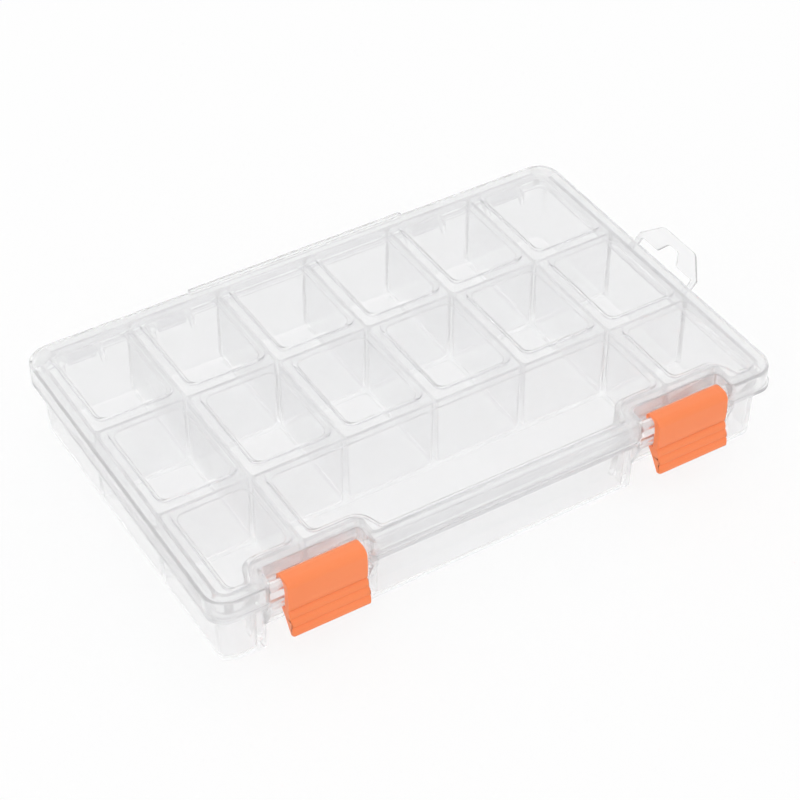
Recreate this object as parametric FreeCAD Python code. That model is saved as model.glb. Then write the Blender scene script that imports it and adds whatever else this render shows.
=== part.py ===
import FreeCAD, Part
import math
import os

Vector = FreeCAD.Vector

# Grid of compartments, the same in the tray and in the lid: six columns, and three rows whose
# outer ones are measured from the divider to the edge of the lid.
column_pitch = 37.0
end_margin = 3.25
back_row = 51.95
middle_row = 47.5
front_row = 48.95

# Heights above the table.
lid_height = 33.5
panel_rise = 1.0

# Lid sheet, skirt and raised panels.
lid_corner = 9.0
lid_sheet = 1.5
lid_edge_round = 1.8
skirt_depth = 7.8
skirt_wall = 1.5
channel_width = 5.4
panel_side_margin = 7.2
panel_front_margin = 4.0
panel_back_margin = 7.0
panel_corner = 3.5
panel_wall = 1.4
strip_length = 92.0
strip_height = 3.0
strip_proud = 1.2

# Latch notches in the lid and the bays behind them in the tray.
notch_side_room = 3.8
notch_depth = 9.0
notch_mouth_corner = 2.5
notch_inner_corner = 2.0
bar_radius = 2.0
bar_drop = 3.0
lobe_clearance = 4.4
lobe_side_gap = 2.6
lobe_spread = 3.0
lobe_inner_corner = 6.5
lobe_mouth_corner = 1.6
bay_gap = 0.5
bay_side_room = 4.1
bay_back_margin = 3.6
bay_mouth_corner = 0.9
rim_mouth_corner = 2.5
bay_inner_corner = 2.5

# Tray walls, floor, dividers and rim.
rim_overhang = 3.8
tray_wall = 1.5
tray_floor = 1.5
divider_wall = 1.2
wall_slope = math.tan(math.radians(0.9))
foot_bevel = 1.0
foot_bevel_height = 1.2
rim_gap = 0.3
flange_gap = 0.2
flange_thickness = 1.8
flange_back_setback = 1.8

# Catch bar under each latch, with a gusset fin at either end.
catch_drop = 10.0
catch_height = 2.3
catch_depth = 2.8
catch_chamfer = 0.6
fin_thickness = 1.8
fin_length = 11.3

# Hinge brackets on the back of the tray and hooks on the lid.
pin_radius = 1.3
pin_play = 0.1
hook_wall = 1.3
hook_width = 11.5
hook_mouth = 100.0
hook_wall_gap = 0.3
ear_spacing = 14.5
ear_thickness = 1.6
ear_rim = 0.7
ear_drop = 5.5

# Snap latch.
latch_width = 30.0
latch_play = 0.15
latch_hook_wall = 1.3
latch_lip_angle = -40.0
latch_plate = 2.7
latch_back_gap = 0.35
latch_crown = 3.0
latch_bulge = 0.2
latch_corner = 1.2
barb_gap = 0.4
barb_reach = 2.0
barb_height = 0.9
barb_slope = 3.0
grip_rise = 1.0
grip_ridges = 3
grip_pitch = 3.2
grip_height = 0.6
grip_flare = 1.0
grip_groove = 0.5
grip_thickness = 1.9

# Hanging flap on the right-hand side of the tray.
flap_thickness = 1.2
flap_gap = 0.05
flap_angle = 50.0
flap_side_web = 2.5
flap_shoulder_web = 0.9
flap_tip_web = 3.9
flap_tip_corner = 3.5
slot_start = 1.8
slot_width = 5.5
slot_half = 15.4
slot_bump_half = 6.0
slot_bump_tip_half = 2.9
slot_bump_height = 4.7
slot_corner = 1.0
slot_bump_corner = 1.8

# Values that follow from the sizes above.
half_length = 3 * column_pitch + end_margin
half_depth = (back_row + middle_row + front_row) / 2
back_row_line = half_depth - back_row
front_row_line = back_row_line - middle_row
latch_centres = (-2 * column_pitch, 2 * column_pitch)
skirt_bottom = lid_height - skirt_depth
rim_top = lid_height - lid_sheet - rim_gap
flange_top = skirt_bottom - flange_gap
flange_bottom = flange_top - flange_thickness
tray_half_length = half_length - rim_overhang
tray_half_depth = half_depth - rim_overhang
tray_corner = lid_corner - rim_overhang
notch_half = latch_width / 2 + notch_side_room
notch_back = -half_depth + notch_depth
rim_bay_half = notch_half + skirt_wall + bay_gap
bay_half = latch_width / 2 + bay_side_room
bay_back = notch_back + bay_back_margin
bar_y = -half_depth + bar_radius
bar_z = lid_height - bar_drop
catch_top = lid_height - catch_drop
catch_bottom = catch_top - catch_height
catch_front = -half_depth
hook_radius = pin_radius + pin_play + hook_wall
ear_radius = pin_radius + ear_rim
hinge_y = tray_half_depth + hook_wall_gap + hook_radius
hinge_z = skirt_bottom - hook_radius
hinge_centres = [column_pitch * step for step in (-2.5, -1.5, 1.5, 2.5)]


def inset(corners, amount):
    """Outline moved inwards; corners are (x, y, radius) taken anticlockwise."""
    moved = []
    for index, (x, y, radius) in enumerate(corners):
        before = corners[index - 1]
        after = corners[(index + 1) % len(corners)]
        run_in = Vector(x - before[0], y - before[1], 0).normalize()
        run_out = Vector(after[0] - x, after[1] - y, 0).normalize()
        normal_in = Vector(-run_in.y, run_in.x, 0)
        normal_out = Vector(-run_out.y, run_out.x, 0)
        shift = (normal_in + normal_out) * (amount / (1 + normal_in.dot(normal_out)))
        turn = 1 if run_in.cross(run_out).z > 0 else -1
        moved.append((x + shift.x, y + shift.y, radius - turn * amount))
    return moved


def outline(corners, height):
    """Closed wire of straight sides and rounded corners at one height; a radius of 0 is a sharp corner."""
    arcs = []
    for index, (x, y, radius) in enumerate(corners):
        before = corners[index - 1]
        after = corners[(index + 1) % len(corners)]
        corner = Vector(x, y, height)
        back = Vector(before[0] - x, before[1] - y, 0).normalize()
        ahead = Vector(after[0] - x, after[1] - y, 0).normalize()
        half = math.acos(back.dot(ahead)) / 2
        middle = (back + ahead).normalize()
        start = corner + back * (radius / math.tan(half))
        end = corner + ahead * (radius / math.tan(half))
        crown = corner + middle * (radius / math.sin(half) - radius)
        arcs.append((start, crown, end))
    edges = []
    for index, (start, crown, end) in enumerate(arcs):
        edges.append(Part.LineSegment(arcs[index - 1][2], start).toShape())
        if corners[index][2]:
            edges.append(Part.Arc(start, crown, end).toShape())
    return Part.Wire(edges)


def prism(corners, low, high):
    return Part.Face(outline(corners, low)).extrude(Vector(0, 0, high - low))


def tapered(corners, sections):
    """Solid through level sections, each (height, inset from the outline); corners keep their radii."""
    wires = []
    for height, amount in sections:
        moved = inset(corners, amount)
        wires.append(outline([(x, y, corner[2]) for (x, y, _), corner in zip(moved, corners)], height))
    return Part.makeLoft(wires, True, True)


def edges_at(shape, height):
    return [edge for edge in shape.Edges
            if all(abs(vertex.Z - height) < 1e-4 for vertex in edge.Vertexes)]


def box(x, y, z):
    """Block between pairs of limits."""
    return Part.makeBox(x[1] - x[0], y[1] - y[0], z[1] - z[0], Vector(x[0], y[0], z[0]))


def side_profile(points, x, width):
    """Plate of a polygon in the y-z plane, centred on x."""
    wire = Part.makePolygon([Vector(x - width / 2, y, z) for y, z in points + points[:1]])
    return Part.Face(wire).extrude(Vector(width, 0, 0))


def rod(radius, x, y, z, length):
    return Part.makeCylinder(radius, length, Vector(x - length / 2, y, z), Vector(1, 0, 0))


def notched_rectangle(half_x, front, back, corner, bay, mouth_corner, inner_corner):
    """Rounded rectangle with two bays in its front side; bay is (half width, back)."""
    corners = [(-half_x, front, corner)]
    for centre in latch_centres:
        corners.append((centre - bay[0], front, mouth_corner))
        corners.append((centre - bay[0], bay[1], inner_corner))
        corners.append((centre + bay[0], bay[1], inner_corner))
        corners.append((centre + bay[0], front, mouth_corner))
    corners += [(half_x, front, corner), (half_x, back, corner), (-half_x, back, corner)]
    return corners


lid_outline = notched_rectangle(half_length, -half_depth, half_depth, lid_corner,
                                (notch_half, notch_back), notch_mouth_corner, notch_inner_corner)
tray_outline = notched_rectangle(tray_half_length, -tray_half_depth, tray_half_depth, tray_corner,
                                 (bay_half, bay_back), bay_mouth_corner, bay_inner_corner)
rim_outline = notched_rectangle(tray_half_length, -tray_half_depth, tray_half_depth, tray_corner,
                                (rim_bay_half, bay_back), rim_mouth_corner, bay_inner_corner)


def row_of_rectangles(lines, front, back, corner):
    return [[(left, front, corner), (right, front, corner), (right, back, corner), (left, back, corner)]
            for left, right in lines]


def grid(half_x, front, back, gap, corner, front_cells):
    """The fifteen fields of the grid: two rows of six, then the three given for the front row."""
    inner = [column_pitch * step for step in (-2, -1, 0, 1, 2)]
    starts = [-half_x] + [line + gap / 2 for line in inner]
    ends = [line - gap / 2 for line in inner] + [half_x]
    columns = list(zip(starts, ends))
    fields = row_of_rectangles(columns, back_row_line + gap / 2, back, corner)
    fields += row_of_rectangles(columns, front_row_line + gap / 2, back_row_line - gap / 2, corner)
    return fields + front_cells


def front_fields(half_x, front, gap, corner, bay_side, bay_lean, bay_line, mouth_corner, inner_corner):
    """Left, long and right field of the front row, cut back behind the latches."""
    back = front_row_line - gap / 2
    near, far = bay_side, bay_side + bay_lean
    right_centre = latch_centres[1]
    right = [(right_centre + gap / 2, bay_line, corner),
             (right_centre + near, bay_line, inner_corner),
             (right_centre + far, front, mouth_corner),
             (half_x, front, corner),
             (half_x, back, corner),
             (right_centre + gap / 2, back, corner)]
    left = [(-x, y, radius) for x, y, radius in reversed(right)]
    half_long = [(right_centre - far, front, mouth_corner),
                 (right_centre - near, bay_line, inner_corner),
                 (right_centre - gap / 2, bay_line, corner),
                 (right_centre - gap / 2, back, corner)]
    long = half_long + [(-x, y, radius) for x, y, radius in reversed(half_long)]
    return [left, long, right]


def cavity():
    """The space inside the outer walls, above the floor."""
    lean = wall_slope * (rim_top - tray_floor)
    return tapered(inset(rim_outline, tray_wall), [(tray_floor, lean), (rim_top, 0)])


def divider(start, end, thickness):
    """Upright wall from start to end that grows thicker towards the floor."""
    run = Vector(end[0] - start[0], end[1] - start[1], 0)
    across = Vector(-run.y, run.x, 0).normalize()
    foot = thickness / 2 + wall_slope * (rim_top - tray_floor)
    origin = Vector(start[0], start[1], 0)
    corners = [(foot, tray_floor), (thickness / 2, rim_top), (-thickness / 2, rim_top), (-foot, tray_floor)]
    points = [origin + across * side + Vector(0, 0, height) for side, height in corners]
    return Part.Face(Part.makePolygon(points + points[:1])).extrude(run)


def make_row_walls():
    space = cavity()
    rows = [divider((-half_length, y), (half_length, y), divider_wall) for y in (back_row_line, front_row_line)]
    return [row.common(space) for row in rows]


def make_column_walls():
    space = cavity()
    rows = make_row_walls()
    lines = [(column_pitch * step, front_row_line) for step in (-1, 0, 1)]
    lines += [(centre, -half_depth) for centre in latch_centres]
    walls = []
    for x, front in lines:
        wall = divider((x, front), (x, half_depth), divider_wall).common(space)
        walls += wall.cut(rows).Solids
    return walls


def make_tray():
    def lean(height):
        return wall_slope * (rim_top - height)

    step = (flange_bottom + flange_top) / 2
    walls = tapered(tray_outline, [(0, lean(0) + foot_bevel), (foot_bevel_height, lean(foot_bevel_height)),
                                   (step, lean(step))])
    rim = tapered(rim_outline, [(step, lean(step)), (rim_top, 0)])
    body = walls.fuse(rim).cut(cavity())

    flange_outline = notched_rectangle(half_length, -half_depth, half_depth - flange_back_setback,
                                       lid_corner - flange_back_setback, (notch_half, notch_back),
                                       notch_mouth_corner, notch_inner_corner)
    flange = prism(flange_outline, flange_bottom, flange_top)
    flange = flange.cut(prism(inset(rim_outline, tray_wall / 2), flange_bottom, flange_top))
    for centre in hinge_centres:
        flange = flange.cut(box((centre - ear_spacing / 2, centre + ear_spacing / 2),
                                (tray_half_depth, half_depth), (flange_bottom, flange_top)))

    added = [flange]
    for centre in latch_centres:
        end = bay_half + fin_thickness / 2
        bar = [(catch_front + catch_depth, catch_bottom), (catch_front + catch_depth, catch_top),
               (catch_front, catch_top), (catch_front, catch_bottom + catch_chamfer),
               (catch_front + catch_chamfer, catch_bottom)]
        added.append(side_profile(bar, centre, 2 * end))
        root = -tray_half_depth + 2 * bay_mouth_corner
        fin = [(root, flange_bottom), (catch_front, flange_bottom), (catch_front, catch_bottom + catch_chamfer),
               (-tray_half_depth, flange_bottom - fin_length), (root, flange_bottom - fin_length)]
        for x in (centre - end, centre + end):
            added.append(side_profile(fin, x, fin_thickness))

    wall_inside = tray_half_depth - tray_wall / 2
    ear = [(wall_inside, hinge_z + ear_radius), (hinge_y, hinge_z + ear_radius),
           (hinge_y, hinge_z - ear_radius), (wall_inside, hinge_z - ear_drop)]
    for centre in hinge_centres:
        added.append(rod(pin_radius, centre, hinge_y, hinge_z, ear_spacing + ear_thickness))
        for side in (-1, 1):
            x = centre + side * (ear_spacing + ear_thickness) / 2
            added.append(side_profile(ear, x, ear_thickness))
            added.append(rod(ear_radius, x, hinge_y, hinge_z, ear_thickness))
    return body.fuse(added).removeSplitter()


def make_lid():
    plain = [(x * half_length, y * half_depth, lid_corner) for x, y in ((-1, -1), (1, -1), (1, 1), (-1, 1))]
    body = prism(plain, skirt_bottom, lid_height)
    body = body.makeFillet(lid_edge_round, edges_at(body, lid_height))
    body = body.common(prism(lid_outline, skirt_bottom, lid_height))
    body = body.cut(prism(inset(lid_outline, skirt_wall), skirt_bottom, lid_height - lid_sheet))
    panel_top = lid_height + panel_rise
    front_panels = front_fields(half_length - panel_side_margin, -half_depth + panel_front_margin, channel_width,
                                panel_corner, notch_half + lobe_side_gap, lobe_spread,
                                notch_back + lobe_clearance, lobe_mouth_corner, lobe_inner_corner)
    panels = grid(half_length - panel_side_margin, -half_depth + panel_front_margin,
                  half_depth - panel_back_margin, channel_width, panel_corner, front_panels)
    raised = [prism(panel, lid_height - lid_sheet / 2, panel_top) for panel in panels]
    hollows = [prism([(x, y, 0) for x, y, _ in inset(panel, panel_wall)],
                     lid_height - lid_sheet, panel_top - lid_sheet) for panel in panels]

    added = raised
    for centre in latch_centres:
        added.append(rod(bar_radius, centre, bar_y, bar_z, 2 * notch_half + skirt_wall))
    for centre in hinge_centres:
        ring = rod(hook_radius, centre, hinge_y, hinge_z, hook_width)
        neck = box((centre - hook_width / 2, centre + hook_width / 2), (half_depth - skirt_wall, half_depth),
                   (hinge_z, skirt_bottom + skirt_wall))
        hook = ring.fuse(neck).cut(rod(pin_radius + pin_play, centre, hinge_y, hinge_z, hook_width))
        reach = 2 * hook_radius
        spread = reach * math.tan(math.radians(hook_mouth / 2))
        mouth = [(hinge_y, hinge_z), (hinge_y - spread, hinge_z - reach), (hinge_y + spread, hinge_z - reach)]
        added.append(hook.cut(side_profile(mouth, centre, hook_width)))
    strip = box((-strip_length / 2, strip_length / 2), (half_depth - skirt_wall, half_depth + strip_proud),
                (lid_height - strip_height, lid_height))
    strip = strip.makeFillet(strip_proud * 0.9, [edge for edge in strip.Edges
                                                if all(vertex.Y > half_depth and vertex.Z > lid_height - 1e-4
                                                       for vertex in edge.Vertexes)])
    added.append(strip)
    return body.fuse(added).cut(Part.makeCompound(hollows)).removeSplitter()


def make_latch(centre):
    inner = bar_radius + latch_play
    outer = inner + latch_hook_wall
    back = bar_y - inner - latch_back_gap
    front = back - latch_plate
    top = bar_z + outer
    barb_top = catch_bottom - barb_gap
    barb_tip = catch_front + barb_reach
    barb_low = barb_top - barb_height

    def around(radius, degrees):
        angle = math.radians(degrees)
        return (bar_y + radius * math.cos(angle), bar_z + radius * math.sin(angle))

    def point(place):
        return Vector(centre - latch_width / 2, place[0], place[1])

    edges = []

    def line(start, end):
        edges.append(Part.LineSegment(point(start), point(end)).toShape())
        return end

    def arc(start, middle, end):
        edges.append(Part.Arc(point(start), point(middle), point(end)).toShape())
        return end

    lip_inner = around(inner, latch_lip_angle)
    place = line(lip_inner, around(outer, latch_lip_angle))
    place = arc(place, around(outer, 25), around(outer, 90))
    place = line(place, (front + latch_crown, top))
    bend = latch_crown * (1 - math.sqrt(0.5))
    place = arc(place, (front + bend, top - bend), (front, top - latch_crown))
    grip_top = barb_top + grip_rise
    place = arc(place, (front - latch_bulge, (place[1] + grip_top) / 2), (front, grip_top))
    place = line(place, (front + grip_groove, grip_top - grip_groove))
    for ridge in range(grip_ridges):
        end = (place[0] - grip_flare, place[1] - grip_pitch)
        crest = ((place[0] + end[0]) / 2 - grip_height, (place[1] + end[1]) / 2)
        place = arc(place, crest, end)
    place = line(place, (place[0] + grip_thickness, place[1] - grip_flare / 2))
    place = line(place, (back, barb_low - barb_slope))
    place = line(place, (barb_tip, barb_low))
    place = line(place, (barb_tip, barb_top))
    place = line(place, (back, barb_top))
    place = line(place, (back, bar_z - bar_radius))
    place = line(place, around(inner, 180))
    arc(place, around(inner, 70), lip_inner)
    strip = Part.Face(Part.Wire(edges)).extrude(Vector(latch_width, 0, 0))
    limits = strip.BoundBox
    left, right = centre - latch_width / 2, centre + latch_width / 2
    rounded = [(left, limits.YMin, latch_corner), (right, limits.YMin, latch_corner),
               (right, limits.YMax, latch_corner), (left, limits.YMax, latch_corner)]
    strip = strip.common(prism(rounded, limits.ZMin, limits.ZMax))
    return strip


def make_flap():
    end = slot_start + slot_width
    tip = end + slot_bump_height
    half_root = slot_half + flap_side_web
    half_tip = slot_bump_half + flap_tip_web
    shoulder = end + flap_shoulder_web
    length = tip + flap_tip_web
    outer = [(0, -half_root, flap_thickness / 2), (shoulder, -half_root, slot_corner),
             (length, -half_tip, flap_tip_corner), (length, half_tip, flap_tip_corner),
             (shoulder, half_root, slot_corner), (0, half_root, flap_thickness / 2)]
    slot = [(slot_start, -slot_half, slot_corner), (end, -slot_half, slot_corner),
            (end, -slot_bump_half, slot_corner), (tip, -slot_bump_tip_half, slot_bump_corner),
            (tip, slot_bump_tip_half, slot_bump_corner), (end, slot_bump_half, slot_corner),
            (end, slot_half, slot_corner), (slot_start, slot_half, slot_corner)]
    low, high = -flap_thickness / 2, flap_thickness / 2
    flap = prism(outer, low, high).cut(prism(slot, low, high))
    bead_length = 2 * (half_root - flap_thickness / 2)
    bead = Part.makeCylinder(flap_thickness / 2, bead_length, Vector(0, -bead_length / 2, 0), Vector(0, 1, 0))
    flap = flap.fuse(bead).removeSplitter()
    flap.rotate(Vector(0, 0, 0), Vector(0, 1, 0), -flap_angle)
    flap.translate(Vector(half_length + flap_gap + flap_thickness / 2, 0, (flange_top + flange_bottom) / 2))
    return flap


os.makedirs("parts", exist_ok=True)
make_tray().exportStep("parts/tray.step")
Part.makeCompound(make_row_walls()).exportStep("parts/row_walls.step")
Part.makeCompound(make_column_walls()).exportStep("parts/column_walls.step")
make_lid().exportStep("parts/lid.step")
make_latch(latch_centres[0]).exportStep("parts/latch_left.step")
make_latch(latch_centres[1]).exportStep("parts/latch_right.step")
make_flap().exportStep("parts/hang_tab.step")
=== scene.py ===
import bmesh
import bpy
import math
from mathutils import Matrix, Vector


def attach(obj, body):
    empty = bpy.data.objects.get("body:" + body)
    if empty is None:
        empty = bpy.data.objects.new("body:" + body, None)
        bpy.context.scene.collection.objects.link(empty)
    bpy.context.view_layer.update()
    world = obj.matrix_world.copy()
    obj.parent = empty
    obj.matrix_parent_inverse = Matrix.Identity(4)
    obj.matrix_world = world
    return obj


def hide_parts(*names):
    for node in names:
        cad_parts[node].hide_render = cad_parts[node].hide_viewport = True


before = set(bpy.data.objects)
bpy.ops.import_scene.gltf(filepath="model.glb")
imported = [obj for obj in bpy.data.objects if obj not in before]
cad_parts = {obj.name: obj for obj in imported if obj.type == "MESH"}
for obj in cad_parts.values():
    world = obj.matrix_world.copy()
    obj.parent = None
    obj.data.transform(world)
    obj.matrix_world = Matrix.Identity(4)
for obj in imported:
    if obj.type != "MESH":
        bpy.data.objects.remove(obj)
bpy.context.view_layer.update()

# Tray: the lower half of the box, one injection moulding in natural see-through polypropylene.
# Its dividers are moulded in one with the walls and the floor; each compartment is left by a
# core of the mould, with a drafted wall, a rounded foot and a rounded top edge.
MM = 0.001
column_pitch = 37.0
back_row_line = 22.25
front_row_line = -25.25
rim_top = 31.7
tray_floor = 1.5
divider_wall = 1.2
inner_half_length = 108.95
inner_half_depth = 68.9
inner_bay_half = 22.3
inner_bay_back = -60.1
wall_slope = math.tan(math.radians(0.9))
foot_round = 1.3
top_round = 0.3
cell_corner = 1.4
wall_corner = 3.7
bay_corner = 1.0
core_overrun = 2.0
cut_clearance = 0.05
tray_edge_round = 0.25


def rounded(corners, inset=0.0, steps=5):
    """Outline of (x, y, radius) corners, anticlockwise, moved inwards with its radii kept."""
    points = []
    for index, (x, y, radius) in enumerate(corners):
        here = Vector((x, y))
        run_in = (here - Vector(corners[index - 1][:2])).normalized()
        run_out = (Vector(corners[(index + 1) % len(corners)][:2]) - here).normalized()
        left_in = Vector((-run_in.y, run_in.x))
        left_out = Vector((-run_out.y, run_out.x))
        corner = here + (left_in + left_out) * (inset / (1 + left_in.dot(left_out)))
        turn = math.copysign(1, run_in.x * run_out.y - run_in.y * run_out.x)
        sweep = math.acos(max(-1, min(1, run_in.dot(run_out))))
        start = corner - run_in * (radius * math.tan(sweep / 2))
        centre = start + left_in * (radius * turn)
        first = math.atan2(start.y - centre.y, start.x - centre.x)
        for step in range(steps + 1):
            angle = first + turn * sweep * step / steps
            points.append((centre.x + radius * math.cos(angle), centre.y + radius * math.sin(angle)))
    return points


def loft(sections):
    """Closed body through level outlines, each (points, height), from the lowest up."""
    mesh = bmesh.new()
    rings = []
    for points, height in sections:
        rings.append([mesh.verts.new((x * MM, y * MM, height * MM)) for x, y in points])
    for low, high in zip(rings, rings[1:]):
        for index in range(len(low)):
            mesh.faces.new((low[index - 1], low[index], high[index], high[index - 1]))
    mesh.faces.new(list(reversed(rings[0])))
    mesh.faces.new(rings[-1])
    return mesh


def object_of(name, mesh):
    """Object that holds a finished mesh and frees the working copy."""
    data = bpy.data.meshes.new(name)
    mesh.to_mesh(data)
    mesh.free()
    thing = bpy.data.objects.new(name, data)
    bpy.context.scene.collection.objects.link(thing)
    return thing


# Limits, in millimetres and degrees, within which parts of a CAD mesh count as one or as level.
mesh_gap = 0.002
mesh_sliver = 0.001
flat_turn = 0.4
level_tilt = 2.5
same_height = 0.01


def merged_copy(node):
    """Copy of a CAD node with its triangles joined and its flat faces made whole."""
    mesh = bmesh.new()
    mesh.from_mesh(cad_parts[node].data)
    bmesh.ops.remove_doubles(mesh, verts=mesh.verts, dist=mesh_gap * MM)
    bmesh.ops.dissolve_degenerate(mesh, edges=mesh.edges, dist=mesh_sliver * MM)
    bmesh.ops.dissolve_limit(mesh, verts=mesh.verts, edges=mesh.edges,
                             angle_limit=math.radians(flat_turn))
    return mesh


def islands_of(mesh):
    """Groups of joined corners in the mesh's own order, so that every run gives the same."""
    islands = []
    reached = set()
    for start in mesh.verts:
        if start in reached:
            continue
        reached.add(start)
        island = [start]
        for vert in island:
            for edge in vert.link_edges:
                other = edge.other_vert(vert)
                if other not in reached:
                    reached.add(other)
                    island.append(other)
        islands.append(island)
    return islands


def plain_block(node, levels):
    """Copy of a CAD node with the faces at these (height, way up) levels made plain and whole."""
    mesh = merged_copy(node)
    level = math.cos(math.radians(level_tilt))
    flat = [face for face in mesh.faces for height, way in levels
            if face.normal.z * way > level
            and abs(face.calc_center_median().z - height * MM) < same_height * MM]
    bmesh.ops.delete(mesh, geom=flat, context="FACES")
    lowest_first = sorted(islands_of(mesh), key=lambda island: min(vert.co.z for vert in island))
    for island in lowest_first[1:]:
        bmesh.ops.delete(mesh, geom=island, context="VERTS")
    bmesh.ops.holes_fill(mesh, edges=[edge for edge in mesh.edges if edge.is_boundary], sides=0)
    bmesh.ops.recalc_face_normals(mesh, faces=mesh.faces)
    return mesh


def round_edges(mesh, radius, segments, least_angle=35, left_sharp=lambda middle: False):
    """Rounds the outer edges that turn by more than the angle, apart from those left sharp."""
    sharp = [edge for edge in mesh.edges if edge.is_manifold and edge.is_convex
             and edge.calc_face_angle() > math.radians(least_angle)
             and not left_sharp((edge.verts[0].co + edge.verts[1].co) / (2 * MM))]
    bmesh.ops.bevel(mesh, geom=sharp, offset=radius * MM, offset_type="OFFSET", segments=segments,
                    profile=0.5, affect="EDGES", clamp_overlap=False, loop_slide=True)


def repeat_tree():
    """Node tree that sets a moulding core, or a panel, in a row along the box."""
    tree = bpy.data.node_groups.new("row of compartments", "GeometryNodeTree")
    face = tree.interface
    face.new_socket("Geometry", in_out="INPUT", socket_type="NodeSocketGeometry")
    face.new_socket("Count", in_out="INPUT", socket_type="NodeSocketInt")
    face.new_socket("Pitch", in_out="INPUT", socket_type="NodeSocketFloat")
    face.new_socket("Material", in_out="INPUT", socket_type="NodeSocketMaterial")
    face.new_socket("Geometry", in_out="OUTPUT", socket_type="NodeSocketGeometry")
    nodes, links = tree.nodes, tree.links
    given = nodes.new("NodeGroupInput")
    line = nodes.new("GeometryNodeMeshLine")
    step = nodes.new("ShaderNodeCombineXYZ")
    place = nodes.new("GeometryNodeInstanceOnPoints")
    real = nodes.new("GeometryNodeRealizeInstances")
    paint = nodes.new("GeometryNodeSetMaterial")
    result = nodes.new("NodeGroupOutput")
    links.new(given.outputs["Count"], line.inputs["Count"])
    links.new(given.outputs["Pitch"], step.inputs["X"])
    links.new(step.outputs["Vector"], line.inputs["Offset"])
    links.new(line.outputs["Mesh"], place.inputs["Points"])
    links.new(given.outputs["Geometry"], place.inputs["Instance"])
    links.new(place.outputs["Instances"], real.inputs["Geometry"])
    links.new(real.outputs["Geometry"], paint.inputs["Geometry"])
    links.new(given.outputs["Material"], paint.inputs["Material"])
    links.new(paint.outputs["Geometry"], result.inputs["Geometry"])
    return tree


def settled(thing):
    """Turns an object's modifiers into its own mesh."""
    shape = bpy.data.meshes.new_from_object(
        thing.evaluated_get(bpy.context.evaluated_depsgraph_get()))
    thing.modifiers.clear()
    thing.data = shape
    return thing


row_tree = repeat_tree()


def in_row(thing, count, pitch, material):
    """The thing repeated along the box, as one plain mesh."""
    modifier = thing.modifiers.new("row", "NODES")
    modifier.node_group = row_tree
    sockets = {item.name: item.identifier for item in row_tree.interface.items_tree
               if item.in_out == "INPUT"}
    modifier[sockets["Count"]] = count
    modifier[sockets["Pitch"]] = pitch * MM
    modifier[sockets["Material"]] = material
    return settled(thing)


def joined(name, things):
    """One object of the meshes of several, which go."""
    mesh = bmesh.new()
    for thing in things:
        mesh.from_mesh(thing.data)
        bpy.data.objects.remove(thing)
    return object_of(name, mesh)


def carve(thing, tool, operation):
    """Adds a tool's shape to a piece, or cuts it away, and takes the tool out of the scene."""
    modifier = thing.modifiers.new("carve", "BOOLEAN")
    modifier.operation = operation
    modifier.solver = "EXACT"
    modifier.object = tool
    settled(thing)
    bpy.data.objects.remove(tool)


def smooth(thing, least_angle=40):
    """Smooth shading that keeps flat faces flat and true corners sharp."""
    thing.data.shade_smooth()
    thing.data.set_sharp_from_angle(angle=math.radians(least_angle))
    modifier = thing.modifiers.new("normals", "WEIGHTED_NORMAL")
    modifier.keep_sharp = True
    return settled(thing)


def see_through_plastic(name, milk, rough, density):
    """Natural polypropylene: clear with a little milk, slightly wavy from the mould."""
    material = bpy.data.materials.new(name)
    material.use_nodes = True
    nodes, links = material.node_tree.nodes, material.node_tree.links
    shader = nodes["Principled BSDF"]
    shader.inputs["Base Color"].default_value = (0.975, 0.975, 0.979, 1)
    shader.inputs["IOR"].default_value = 1.49
    shader.inputs["Transmission Weight"].default_value = 1 - milk
    place = nodes.new("ShaderNodeTexCoord")
    flow = nodes.new("ShaderNodeTexNoise")
    flow.inputs["Scale"].default_value = 60.0
    flow.inputs["Detail"].default_value = 3.0
    links.new(place.outputs["Object"], flow.inputs["Vector"])
    level = nodes.new("ShaderNodeMapRange")
    level.inputs["To Min"].default_value = rough * 0.7
    level.inputs["To Max"].default_value = rough * 1.3
    links.new(flow.outputs["Fac"], level.inputs["Value"])
    links.new(level.outputs["Result"], shader.inputs["Roughness"])
    bump = nodes.new("ShaderNodeBump")
    bump.inputs["Strength"].default_value = 0.15
    bump.inputs["Distance"].default_value = 0.0003
    links.new(flow.outputs["Fac"], bump.inputs["Height"])
    links.new(bump.outputs["Normal"], shader.inputs["Normal"])
    depth = nodes.new("ShaderNodeVolumeAbsorption")
    depth.inputs["Color"].default_value = (0.80, 0.81, 0.82, 1)
    depth.inputs["Density"].default_value = density
    links.new(depth.outputs["Volume"], nodes["Material Output"].inputs["Volume"])
    return material


def core(corners):
    """Mould core of one compartment, its outline given at the rim."""
    sections = []
    for angle in (0, 22.5, 45, 67.5, 90):
        turn = math.radians(angle)
        height = tray_floor + foot_round * (1 - math.cos(turn))
        inset = wall_slope * (rim_top - height) + foot_round * (1 - math.sin(turn))
        sections.append((inset, height))
    for angle in (0, 30, 60):
        turn = math.radians(angle)
        height = rim_top - top_round * (1 - math.sin(turn))
        inset = wall_slope * (rim_top - height) - top_round * (1 - math.cos(turn))
        sections.append((inset, height))
    sections.append((-top_round, rim_top + cut_clearance))
    sections.append((-top_round, rim_top + core_overrun))
    return loft([(rounded(corners, inset), height) for inset, height in sections])


def field(left, right, front, back, radii):
    """Rectangle with a radius for each corner: front left, front right, back right, back left."""
    return [(left, front, radii[0]), (right, front, radii[1]),
            (right, back, radii[2]), (left, back, radii[3])]


def mirrored(corners):
    """The same outline on the other side of the box, still anticlockwise."""
    return [(-x, y, radius) for x, y, radius in reversed(corners)]


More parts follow.
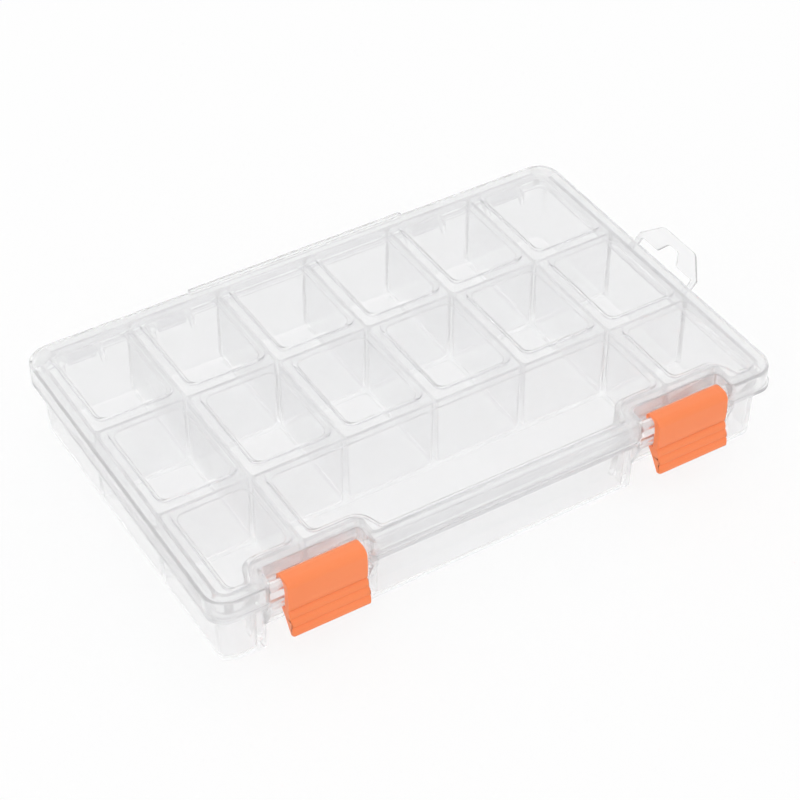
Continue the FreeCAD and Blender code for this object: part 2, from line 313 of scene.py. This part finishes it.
clear_tray = see_through_plastic("natural polypropylene tray", milk=0.2, rough=0.07, density=14.0)
half_wall = divider_wall / 2
end_column = 2 * column_pitch
rows = [(back_row_line + half_wall, inner_half_depth, wall_corner),
        (front_row_line + half_wall, back_row_line - half_wall, cell_corner)]
cores = []
for front, back, end_corner in rows:
    inner = field(-end_column + half_wall, -column_pitch - half_wall, front, back, [cell_corner] * 4)
    cores.append(in_row(object_of("core", core(inner)), 4, column_pitch, clear_tray))
    outer = field(end_column + half_wall, inner_half_length, front, back,
                  [cell_corner, cell_corner, end_corner, cell_corner])
    cores.append(object_of("core", core(outer)))
    cores.append(object_of("core", core(mirrored(outer))))
front_row_back = front_row_line - half_wall
bay_outer_side = end_column + inner_bay_half
bay_inner_side = end_column - inner_bay_half
front_right = [(end_column + half_wall, inner_bay_back, cell_corner),
               (bay_outer_side, inner_bay_back, bay_corner),
               (bay_outer_side, -inner_half_depth, cell_corner),
               (inner_half_length, -inner_half_depth, wall_corner),
               (inner_half_length, front_row_back, cell_corner),
               (end_column + half_wall, front_row_back, cell_corner)]
half_long = [(bay_inner_side, -inner_half_depth, cell_corner),
             (bay_inner_side, inner_bay_back, bay_corner),
             (end_column - half_wall, inner_bay_back, cell_corner),
             (end_column - half_wall, front_row_back, cell_corner)]
for corners in (front_right, mirrored(front_right), half_long + mirrored(half_long)):
    cores.append(object_of("core", core(corners)))

# Room of the two latch bays below the flange, and of the hinge brackets on the back wall.
bay_room_half = 22
bay_room_back = -60
bay_room_top = 26
bracket_front = 70.2
bracket_bottom = 17
bracket_top = 26


def in_bay_or_bracket(middle):
    """Places where the tray's edges lie too close together to be rounded."""
    beside_bay = abs(abs(middle.x) - end_column) < bay_room_half
    in_bay = beside_bay and middle.y < bay_room_back and middle.z < bay_room_top
    return in_bay or (middle.y > bracket_front and bracket_bottom < middle.z < bracket_top)


tray_mesh = plain_block("tray", [(rim_top, 1)])
round_edges(tray_mesh, tray_edge_round, segments=2, left_sharp=in_bay_or_bracket)
tray = object_of("clear_tray", tray_mesh)
carve(tray, joined("cores", cores), "DIFFERENCE")
tray.data.materials.clear()
tray.data.materials.append(clear_tray)
smooth(tray)
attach(tray, "tray")
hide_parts("tray", "row_walls", "column_walls")

# Lid: the upper half, one moulding of the same clear polypropylene, hung on the tray at the back.
# Over each compartment its sheet rises in a flat panel with a rounded edge, hollow underneath,
# and a skirt goes down round its edge; two bars in notches of the front carry the latches.
lid_height = 33.5
lid_sheet = 1.5
panel_rise = 1.0
panel_wall = 1.4
panel_corner = 3.5
panel_edge_round = 0.5
hollow_overrun = 1.0
channel = 5.4
panel_end = 107.05
panel_back = 67.2
panel_front = -70.2
notch_half = 18.8
notch_back = -65.2
lobe_clearance = 4.4
lobe_side_gap = 2.6
lobe_spread = 3.0
lobe_inner_corner = 6.5
lobe_mouth_corner = 1.6
lid_edge_round = 0.3


def panel(corners):
    """Raised panel with a rounded top edge, sunk into the lid's sheet."""
    top = lid_height + panel_rise
    sections = [(0, lid_height - lid_sheet / 2), (0, top - panel_edge_round)]
    for angle in (22.5, 45, 67.5, 90):
        turn = math.radians(angle)
        sections.append((panel_edge_round * (1 - math.cos(turn)),
                         top - panel_edge_round * (1 - math.sin(turn))))
    return loft([(rounded(corners, inset), height) for inset, height in sections])


def hollow(corners):
    """Space under a raised panel, rounded at its roof."""
    roof = lid_height + panel_rise - lid_sheet
    below = lid_height - lid_sheet - hollow_overrun
    sections = [(panel_wall, below), (panel_wall, roof - panel_edge_round)]
    for angle in (30, 60, 90):
        turn = math.radians(angle)
        sections.append((panel_wall + panel_edge_round * (1 - math.cos(turn)),
                         roof - panel_edge_round * (1 - math.sin(turn))))
    return loft([(rounded(corners, inset), height) for inset, height in sections])


clear_lid = see_through_plastic("natural polypropylene lid", milk=0.22, rough=0.03, density=0.5)
half_channel = channel / 2
panels = []
for front, back in ((back_row_line + half_channel, panel_back),
                    (front_row_line + half_channel, back_row_line - half_channel)):
    inner = field(-end_column + half_channel, -column_pitch - half_channel, front, back, [panel_corner] * 4)
    panels.append((4, inner))
    outer = field(end_column + half_channel, panel_end, front, back, [panel_corner] * 4)
    panels += [(1, outer), (1, mirrored(outer))]
panel_line = front_row_line - half_channel
lobe_line = notch_back + lobe_clearance
near = notch_half + lobe_side_gap
far = near + lobe_spread
front_right = [(end_column + half_channel, lobe_line, panel_corner),
               (end_column + near, lobe_line, lobe_inner_corner),
               (end_column + far, panel_front, lobe_mouth_corner),
               (panel_end, panel_front, panel_corner),
               (panel_end, panel_line, panel_corner),
               (end_column + half_channel, panel_line, panel_corner)]
half_long = [(end_column - far, panel_front, lobe_mouth_corner),
             (end_column - near, lobe_line, lobe_inner_corner),
             (end_column - half_channel, lobe_line, panel_corner),
             (end_column - half_channel, panel_line, panel_corner)]
panels += [(1, front_right), (1, mirrored(front_right)), (1, half_long + mirrored(half_long))]

lid_mesh = plain_block("lid", [(lid_height, 1), (lid_height - lid_sheet, -1)])
round_edges(lid_mesh, lid_edge_round, segments=2)
lid = object_of("clear_lid", lid_mesh)
for shape, operation in ((panel, "UNION"), (hollow, "DIFFERENCE")):
    tools = [in_row(object_of("panel", shape(corners)), count, column_pitch, clear_lid)
             for count, corners in panels]
    carve(lid, joined("panels", tools), operation)
lid.data.materials.clear()
lid.data.materials.append(clear_lid)
smooth(lid)
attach(lid, "lid")
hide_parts("lid")

# Latches: two orange clips, moulded in polypropylene, snapped over the lid's bars.
# Each has a smooth face, three grip ridges along its lower edge and a barb behind.
latch_edge_round = 0.35
barb_behind, barb_below = -74.6, 24
lip_behind, lip_below = -70.5, 32.6


def orange_plastic():
    """Glossy dyed polypropylene with a faint mould grain."""
    material = bpy.data.materials.new("orange polypropylene")
    material.use_nodes = True
    nodes, links = material.node_tree.nodes, material.node_tree.links
    shader = nodes["Principled BSDF"]
    place = nodes.new("ShaderNodeTexCoord")
    grain = nodes.new("ShaderNodeTexNoise")
    grain.inputs["Scale"].default_value = 400.0
    grain.inputs["Detail"].default_value = 4.0
    links.new(place.outputs["Object"], grain.inputs["Vector"])
    cloud = nodes.new("ShaderNodeTexNoise")
    cloud.inputs["Scale"].default_value = 45.0
    links.new(place.outputs["Object"], cloud.inputs["Vector"])
    dye = nodes.new("ShaderNodeValToRGB")
    dye.color_ramp.elements[0].color = (0.93, 0.226, 0.068, 1)
    dye.color_ramp.elements[1].color = (0.97, 0.266, 0.088, 1)
    links.new(cloud.outputs["Fac"], dye.inputs["Fac"])
    links.new(dye.outputs["Color"], shader.inputs["Base Color"])
    level = nodes.new("ShaderNodeMapRange")
    level.inputs["To Min"].default_value = 0.26
    level.inputs["To Max"].default_value = 0.38
    links.new(grain.outputs["Fac"], level.inputs["Value"])
    links.new(level.outputs["Result"], shader.inputs["Roughness"])
    bump = nodes.new("ShaderNodeBump")
    bump.inputs["Strength"].default_value = 0.12
    bump.inputs["Distance"].default_value = 0.0001
    links.new(grain.outputs["Fac"], bump.inputs["Height"])
    links.new(bump.outputs["Normal"], shader.inputs["Normal"])
    shader.inputs["IOR"].default_value = 1.49
    shader.inputs["Subsurface Weight"].default_value = 0.15
    shader.inputs["Subsurface Radius"].default_value = (0.002, 0.0008, 0.0003)
    shader.inputs["Subsurface Scale"].default_value = 1.0
    return material


def barb_or_lip(middle):
    """The latch's thin inner edges, which stay sharp."""
    on_barb = middle.y > barb_behind and middle.z < barb_below
    return on_barb or (middle.y > lip_behind and middle.z < lip_below)


orange = orange_plastic()
for side in ("left", "right"):
    latch_mesh = merged_copy("latch_" + side)
    round_edges(latch_mesh, latch_edge_round, segments=3, least_angle=50, left_sharp=barb_or_lip)
    latch = object_of("orange_latch_" + side, latch_mesh)
    latch.data.materials.clear()
    latch.data.materials.append(orange)
    smooth(latch)
    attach(latch, "latch_" + side)
    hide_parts("latch_" + side)

# Hanging tab: a thin flap with a wide slot and a raised middle for a shop peg or a nail.
# It is moulded with the tray and bends at the thin line where it leaves the rim.
tab_edge_round = 0.25
tab_mesh = merged_copy("hang_tab")
round_edges(tab_mesh, tab_edge_round, segments=2)
tab = object_of("hanging_tab", tab_mesh)
tab.data.materials.clear()
tab.data.materials.append(clear_tray)
smooth(tab)
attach(tab, "hang_tab")
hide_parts("hang_tab")

# Setting: a white table under even light from a wide sky and two large soft lamps.
# The camera has the photograph's angle, well above the box and left of its front.
floor_half = 4.0
table_glow = 0.8
floor_mesh = bmesh.new()
bmesh.ops.create_grid(floor_mesh, x_segments=1, y_segments=1, size=floor_half)
floor = object_of("table", floor_mesh)


def seen_straight(nodes, links):
    """1 for what the camera sees, itself or by a reflection or through clear plastic."""
    path = nodes.new("ShaderNodeLightPath")
    first = nodes.new("ShaderNodeMath")
    first.operation = "MAXIMUM"
    links.new(path.outputs["Is Camera Ray"], first.inputs[0])
    links.new(path.outputs["Is Glossy Ray"], first.inputs[1])
    both = nodes.new("ShaderNodeMath")
    both.operation = "MAXIMUM"
    links.new(first.outputs[0], both.inputs[0])
    links.new(path.outputs["Is Transmission Ray"], both.inputs[1])
    return both.outputs[0]


table_white = bpy.data.materials.new("white table")
table_white.use_nodes = True
nodes, links = table_white.node_tree.nodes, table_white.node_tree.links
shader = nodes["Principled BSDF"]
shader.inputs["Base Color"].default_value = (0.92, 0.92, 0.92, 1)
shader.inputs["Roughness"].default_value = 0.9
shader.inputs["Specular IOR Level"].default_value = 0.0
glow = nodes.new("ShaderNodeEmission")
glow.inputs["Strength"].default_value = 1.0
share = nodes.new("ShaderNodeMath")
share.operation = "MULTIPLY"
share.inputs[1].default_value = table_glow
links.new(seen_straight(nodes, links), share.inputs[0])
mix = nodes.new("ShaderNodeMixShader")
links.new(share.outputs[0], mix.inputs["Fac"])
links.new(shader.outputs["BSDF"], mix.inputs[1])
links.new(glow.outputs["Emission"], mix.inputs[2])
links.new(mix.outputs["Shader"], nodes["Material Output"].inputs["Surface"])
floor.data.materials.append(table_white)

sky = bpy.data.worlds.new("studio")
bpy.context.scene.world = sky
sky.use_nodes = True
backdrop = sky.node_tree.nodes["Background"]
backdrop.inputs["Color"].default_value = (1, 1, 1, 1)
backdrop.inputs["Strength"].default_value = 1.0


def soft_lamp(name, place, size, power):
    """Large soft lamp, turned towards the box."""
    lamp = bpy.data.lights.new(name, "AREA")
    lamp.shape = "RECTANGLE"
    lamp.size, lamp.size_y = size
    lamp.energy = power
    thing = bpy.data.objects.new(name, lamp)
    bpy.context.scene.collection.objects.link(thing)
    thing.location = place
    thing.rotation_euler = (-Vector(place)).to_track_quat("-Z", "Y").to_euler()


soft_lamp("overhead softbox", place=(0.1, 0.5, 1.5), size=(1.6, 1.2), power=0.5)
soft_lamp("left softbox", place=(-1.3, -0.6, 0.9), size=(1.0, 1.0), power=1.5)

camera_place = (-0.317716, -0.520671, 0.556545)
camera_tilt = math.radians(48.335)
camera_turn = math.radians(-31.439)
camera = bpy.data.cameras.new("camera")
camera.lens = 100.8
camera.sensor_width = 36.0
viewer = bpy.data.objects.new("camera", camera)
bpy.context.scene.collection.objects.link(viewer)
viewer.location = camera_place
viewer.rotation_euler = (camera_tilt, 0, camera_turn)
bpy.context.scene.camera = viewer
bpy.context.scene.view_settings.view_transform = "Standard"

# Light crosses many walls of clear plastic before it comes out again, and is not blurred on its way.
wall_crossings = 48
cycles = bpy.context.scene.cycles
cycles.max_bounces = wall_crossings
cycles.diffuse_bounces = wall_crossings // 2
cycles.glossy_bounces = wall_crossings
cycles.transmission_bounces = wall_crossings
cycles.blur_glossy = 0.0
